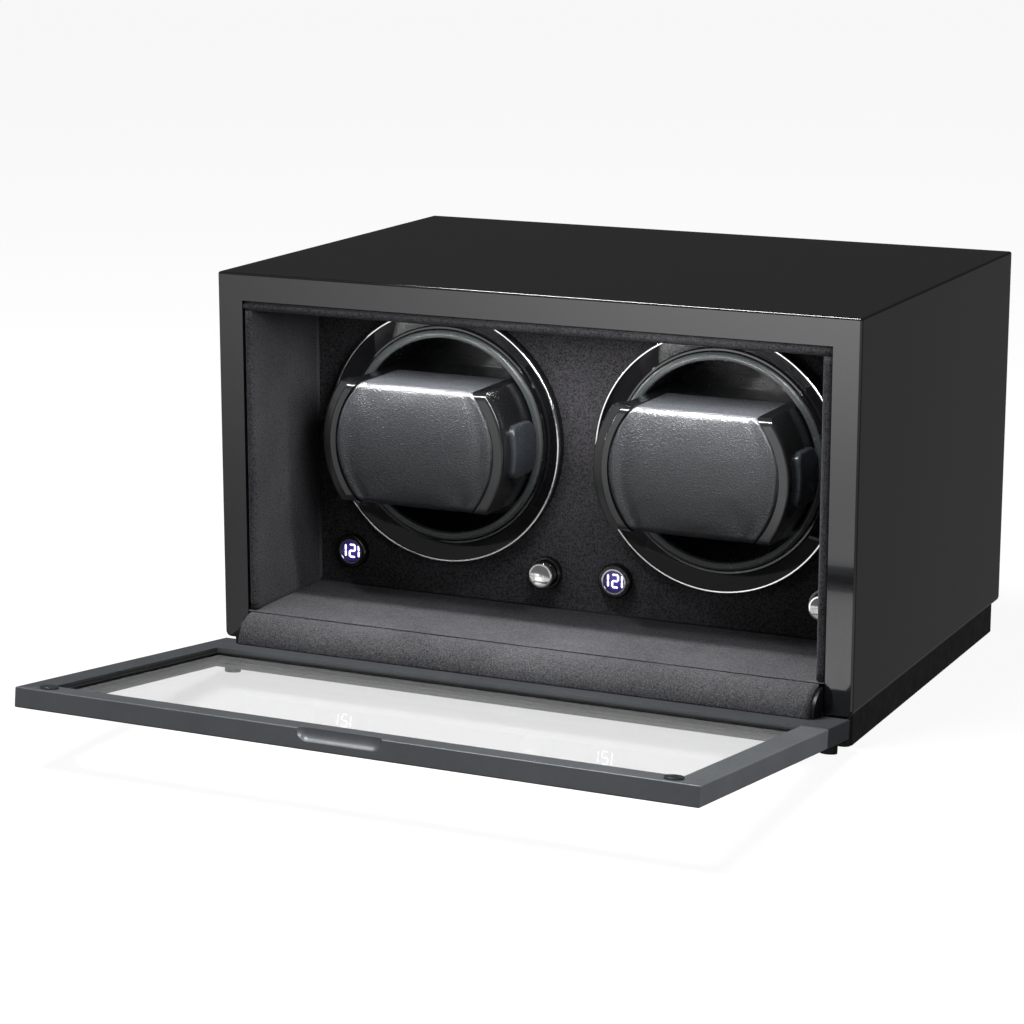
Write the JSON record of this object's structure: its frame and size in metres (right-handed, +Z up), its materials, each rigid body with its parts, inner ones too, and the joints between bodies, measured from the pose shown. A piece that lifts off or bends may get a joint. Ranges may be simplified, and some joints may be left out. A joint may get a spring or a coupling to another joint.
{
  "type": "watch winder box",
  "caption": "Lacquered watch winder box with turning rotors, pull-out leather watch cushions, small displays, push buttons and a drop-down glass door.",
  "frame": {"origin": "centre of the case's footprint, on the underside of the felt that the box stands on", "axes": "+Z up, -Y towards the front where the door drops down, +X to the right as seen from the front"},
  "size_m": [0.33, 0.4189, 0.2],
  "materials": {
    "lacquer_black": "board with gloss black piano lacquer",
    "plinth_black": "board painted satin black",
    "board_wood": "plain fibre board",
    "felt_black": "pressed black felt",
    "suede_charcoal": "charcoal microfibre suede over board",
    "suede_grey": "grey microfibre suede over board",
    "bezel_black": "polished black",
    "chrome": "bright chrome plate",
    "rotor_charcoal": "satin charcoal moulding",
    "housing_black": "matte black moulding",
    "bush_brass": "sintered bearing metal",
    "steel": "plain bright steel",
    "gear_white": "moulded gear plastic",
    "hinge_black": "steel with satin black coating",
    "display_glass": "dark lens over a lit display",
    "circuit_green": "circuit board",
    "jack_black": "moulded inlet with a metal pin",
    "lead_black": "flexible sheath",
    "door_gunmetal": "satin gunmetal anodised",
    "door_glass": "clear flat glass",
    "gasket_black": "soft black rubber",
    "bumper_grey": "soft grey pad",
    "leather_grey": "pebbled grey leather over foam",
    "cushion_black": "satin dark moulding",
    "tab_grey": "satin blue-grey moulding"
  },
  "bodies": {
    "case": {"case_top_panel": "lacquer_black", "case_left_panel": "lacquer_black", "case_right_panel": "lacquer_black", "case_floor_panel": "board_wood", "case_rear_panel": "lacquer_black", "rear_panel_screws": "steel", "case_cleats": "board_wood", "plinth_board": "plinth_black", "base_felt": "felt_black", "lining_top": "suede_charcoal", "lining_left": "suede_charcoal", "lining_right": "suede_charcoal", "floor_pad": "suede_grey", "fascia_panel": "suede_charcoal", "shaft_bushes": "bush_brass", "display_bezels": "bezel_black", "display_trims": "chrome", "display_windows": "display_glass", "button_collars": "bezel_black", "control_board": "circuit_green", "board_stand_offs": "steel", "power_jack": "jack_black", "inner_leads": "lead_black", "hinge_brackets": "hinge_black", "hinge_pins": "steel", "bezel_disc_left": "bezel_black", "bezel_ring_left": "chrome", "rotor_housing_left": "housing_black", "gear_motor_left": "steel", "bezel_disc_right": "bezel_black", "bezel_ring_right": "chrome", "rotor_housing_right": "housing_black", "gear_motor_right": "steel"},
    "door": {"door_top_rail": "door_gunmetal", "door_bottom_rail": "door_gunmetal", "door_left_rail": "door_gunmetal", "door_right_rail": "door_gunmetal", "door_glass": "door_glass", "glazing_gasket": "gasket_black", "door_bumpers": "bumper_grey", "door_feet": "gasket_black", "hinge_arms": "hinge_black", "apron_board": "board_wood", "apron_suede": "suede_grey"},
    "rotor_left": {"rotor_cup_left": "rotor_charcoal", "rotor_shaft_left": "steel", "rotor_gear_left": "gear_white"},
    "pinion_left": {"motor_pinion_left": "gear_white"},
    "cushion_left": {"cushion_frame_left": "cushion_black", "cushion_pad_left": "leather_grey"},
    "tab_left": {"release_tab_left": "tab_grey"},
    "button_left": {"mode_button_left": "chrome"},
    "rotor_right": {"rotor_cup_right": "rotor_charcoal", "rotor_shaft_right": "steel", "rotor_gear_right": "gear_white"},
    "pinion_right": {"motor_pinion_right": "gear_white"},
    "cushion_right": {"cushion_frame_right": "cushion_black", "cushion_pad_right": "leather_grey"},
    "tab_right": {"release_tab_right": "tab_grey"},
    "button_right": {"mode_button_right": "chrome"}
  },
  "joints": [
    {"name": "door_hinge", "type": "hinge", "parent": "case", "child": "door", "pos_m": [0, -0.1171, 0.0163], "axis": [1, 0, 0], "range_deg": [-82.91, 0]},
    {"name": "rotor_turn_left", "type": "hinge", "parent": "case", "child": "rotor_left", "pos_m": [-0.0733, -0.1165, 0.1145], "axis": [0, 1, 0], "continuous": true},
    {"name": "pinion_turn_left", "type": "hinge", "parent": "case", "child": "pinion_left", "pos_m": [-0.0333, -0.1165, 0.1145], "axis": [0, 1, 0], "continuous": true},
    {"name": "cushion_pull_left", "type": "slide", "parent": "rotor_left", "child": "cushion_left", "axis": [0, -1, 0], "range_m": [0, 0.06]},
    {"name": "tab_press_left", "type": "slide", "parent": "cushion_left", "child": "tab_left", "axis": [-1, 0, 0], "range_m": [0, 0.0015], "stiffness_N_per_m": 400},
    {"name": "button_press_left", "type": "slide", "parent": "case", "child": "button_left", "axis": [0, 1, 0], "range_m": [0, 0.0015], "stiffness_N_per_m": 400},
    {"name": "rotor_turn_right", "type": "hinge", "parent": "case", "child": "rotor_right", "pos_m": [0.0733, -0.1165, 0.1145], "axis": [0, 1, 0], "continuous": true},
    {"name": "pinion_turn_right", "type": "hinge", "parent": "case", "child": "pinion_right", "pos_m": [0.0333, -0.1165, 0.1145], "axis": [0, 1, 0], "continuous": true},
    {"name": "cushion_pull_right", "type": "slide", "parent": "rotor_right", "child": "cushion_right", "axis": [0, -1, 0], "range_m": [0, 0.06]},
    {"name": "tab_press_right", "type": "slide", "parent": "cushion_right", "child": "tab_right", "axis": [-1, 0, 0], "range_m": [0, 0.0015], "stiffness_N_per_m": 400},
    {"name": "button_press_right", "type": "slide", "parent": "case", "child": "button_right", "axis": [0, 1, 0], "range_m": [0, 0.0015], "stiffness_N_per_m": 400}
  ],
  "couplings": [
    {"joint": "pinion_turn_left", "follows": "rotor_turn_left", "ratio": -3},
    {"joint": "pinion_turn_right", "follows": "rotor_turn_right", "ratio": -3}
  ]
}
